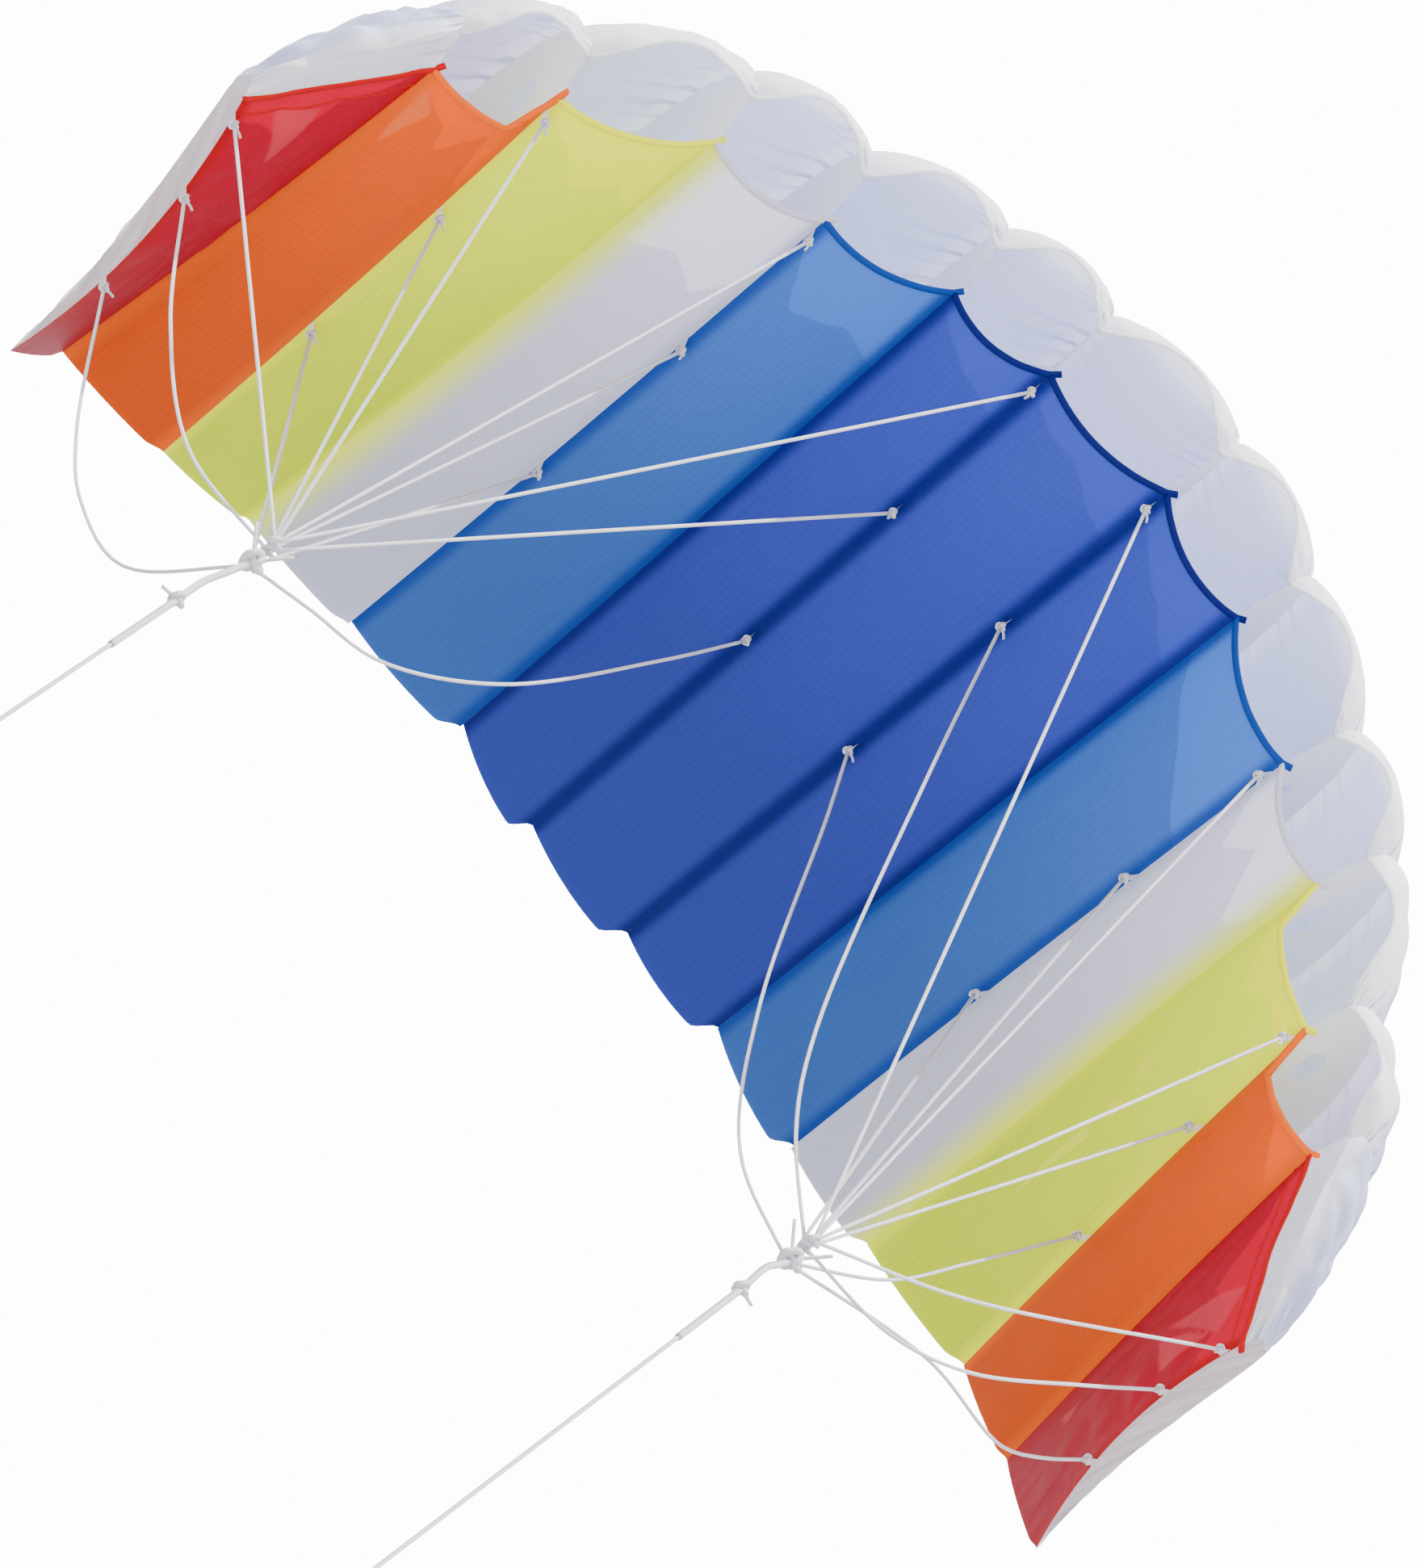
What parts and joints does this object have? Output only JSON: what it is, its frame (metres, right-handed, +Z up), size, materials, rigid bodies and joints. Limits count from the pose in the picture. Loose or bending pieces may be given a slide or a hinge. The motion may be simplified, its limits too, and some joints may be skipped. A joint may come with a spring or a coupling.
{
  "type": "foil kite",
  "caption": "Two-line ram-air foil kite: open cells between ribs, rainbow bottom skin, white top skin, bridles and line ends.",
  "frame": {"origin": "middle of the canopy, at the level of the lower edges of its two centre ribs, where the wing's lift acts", "axes": "+Z up along the flying lines towards the canopy; +X along the span to the kite's right; +Y forward, from the trailing edge to the open leading edge"},
  "size_m": [1.0914, 0.6191, 1.4566],
  "materials": {
    "white": "translucent white ripstop nylon",
    "red": "red ripstop nylon",
    "orange": "orange ripstop nylon",
    "yellow": "lemon yellow ripstop nylon",
    "pale_grey": "white ripstop nylon seen in shade",
    "light_blue": "light blue ripstop nylon",
    "royal_blue": "royal blue ripstop nylon",
    "cord": "braided white polyester cord"
  },
  "bodies": {
    "canopy": {"top_panel_centre": "white", "top_panel_right_1": "white", "top_panel_right_2": "white", "top_panel_right_3": "white", "top_panel_right_4": "white", "top_panel_right_5": "white", "top_panel_right_6": "white", "top_panel_left_1": "white", "top_panel_left_2": "white", "top_panel_left_3": "white", "top_panel_left_4": "white", "top_panel_left_5": "white", "top_panel_left_6": "white", "bottom_panel_centre": "royal_blue", "bottom_panel_right_1": "royal_blue", "bottom_panel_right_2": "light_blue", "bottom_panel_right_3": "pale_grey", "bottom_panel_right_4": "yellow", "bottom_panel_right_5": "orange", "bottom_panel_right_6": "red", "bottom_panel_left_1": "royal_blue", "bottom_panel_left_2": "light_blue", "bottom_panel_left_3": "pale_grey", "bottom_panel_left_4": "yellow", "bottom_panel_left_5": "orange", "bottom_panel_left_6": "red", "rib_right_1": "white", "rib_right_2": "white", "rib_right_3": "white", "rib_right_4": "white", "rib_right_5": "white", "rib_right_6": "white", "rib_right_7": "white", "rib_left_1": "white", "rib_left_2": "white", "rib_left_3": "white", "rib_left_4": "white", "rib_left_5": "white", "rib_left_6": "white", "rib_left_7": "white", "bridle_A_row_right": "cord", "bridle_B_row_right": "cord", "bridle_C_row_right": "cord", "bridle_A_row_left": "cord", "bridle_B_row_left": "cord", "bridle_C_row_left": "cord", "tow_knot_right": "cord", "tow_knot_left": "cord"},
    "pigtail_right": {"pigtail_right": "cord", "stopper_knot_right": "cord"},
    "line_right": {"doubled_line_right": "cord", "flying_line_right": "cord", "line_loop_right": "cord"},
    "pigtail_left": {"pigtail_left": "cord", "stopper_knot_left": "cord"},
    "line_left": {"doubled_line_left": "cord", "flying_line_left": "cord", "line_loop_left": "cord"}
  },
  "joints": [
    {"name": "pigtail_swing_right", "type": "hinge", "parent": "canopy", "child": "pigtail_right", "pos_m": [0.277, 0.09, -0.66], "axis": [0, 1, 0], "range_deg": [-18, 18]},
    {"name": "line_swing_right", "type": "hinge", "parent": "pigtail_right", "child": "line_right", "pos_m": [0.277, 0.09, -0.735], "axis": [1, 0, 0], "range_deg": [-35, 35]},
    {"name": "pigtail_swing_left", "type": "hinge", "parent": "canopy", "child": "pigtail_left", "pos_m": [-0.277, 0.09, -0.66], "axis": [0, 1, 0], "range_deg": [-18, 18]},
    {"name": "line_swing_left", "type": "hinge", "parent": "pigtail_left", "child": "line_left", "pos_m": [-0.277, 0.09, -0.735], "axis": [1, 0, 0], "range_deg": [-35, 35]}
  ]
}
